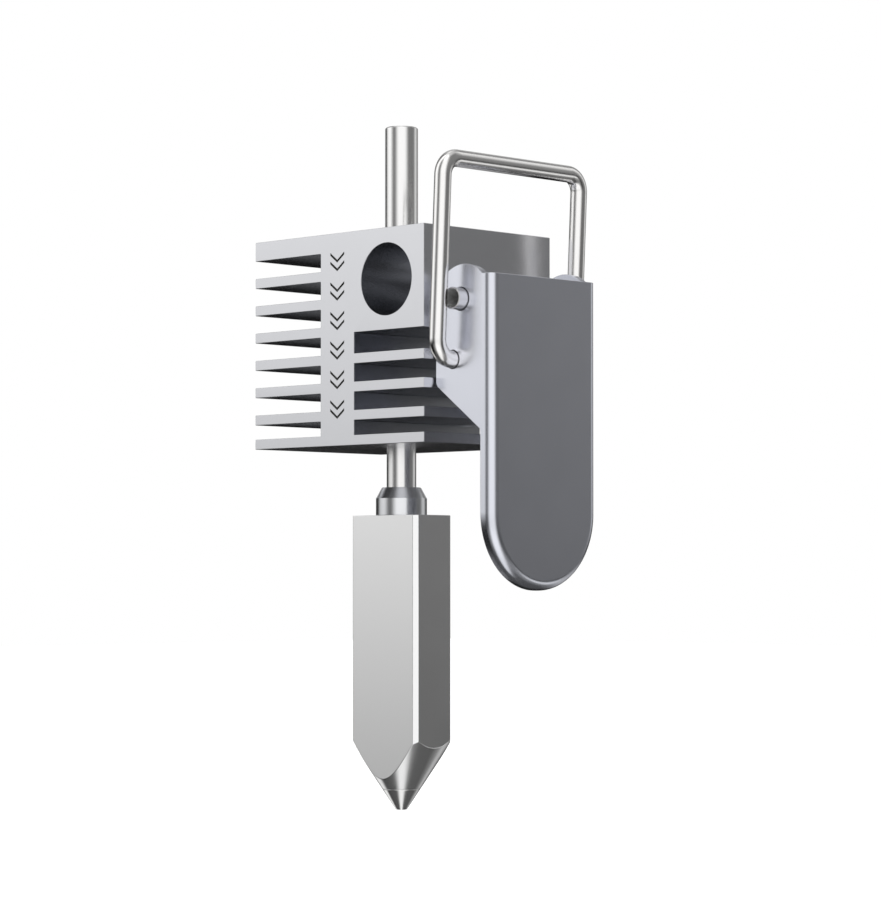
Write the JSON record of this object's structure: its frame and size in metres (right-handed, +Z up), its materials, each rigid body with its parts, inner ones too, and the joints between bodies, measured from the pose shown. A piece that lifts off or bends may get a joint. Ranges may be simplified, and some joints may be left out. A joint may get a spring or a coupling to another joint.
{
  "type": "hotend assembly",
  "caption": "Quick-change hotend: finned heatsink on a steel feed tube, flat-sided nozzle with a turned tip, and a pivoting latch lever with a wire bail.",
  "frame": {"origin": "on the tube axis, at the heatsink's top face, where the feed tube leaves it", "axes": "+Z up along the feed tube, -Y towards the latch lever, -X towards the marked side of the heatsink"},
  "size_m": [0.0206, 0.0318, 0.0682],
  "materials": {
    "heatsink_aluminium": "machined, finely brushed, silver anodised",
    "tube_steel": "polished stainless tube",
    "collar_steel": "fine turned steel",
    "nozzle_plated": "satin nickel plating over a hot metal core",
    "tip_steel": "turned hardened steel",
    "screw_steel": "black oxide",
    "pin_steel": "drawn steel tube",
    "lever_steel": "bead-blasted satin stainless sheet",
    "bail_wire": "polished spring wire"
  },
  "bodies": {
    "frame": {"heatsink": "heatsink_aluminium", "heat_break_tube": "tube_steel", "nozzle_collar": "collar_steel", "nozzle_body": "nozzle_plated", "nozzle_tip": "tip_steel", "grub_screws": "screw_steel", "pivot_pin": "pin_steel"},
    "latch_lever": {"lever": "lever_steel"},
    "wire_bail": {"bail": "bail_wire"}
  },
  "joints": [
    {"name": "lever_swing", "type": "hinge", "parent": "frame", "child": "latch_lever", "pos_m": [0, -0.0156, -0.0074], "axis": [-1, 0, 0], "range_deg": [0, 95]},
    {"name": "bail_swing", "type": "hinge", "parent": "latch_lever", "child": "wire_bail", "pos_m": [0, -0.01453, -0.0131], "axis": [1, 0, 0], "range_deg": [0, 95]}
  ],
  "couplings": [
    {"joint": "bail_swing", "follows": "lever_swing", "ratio": 1}
  ]
}
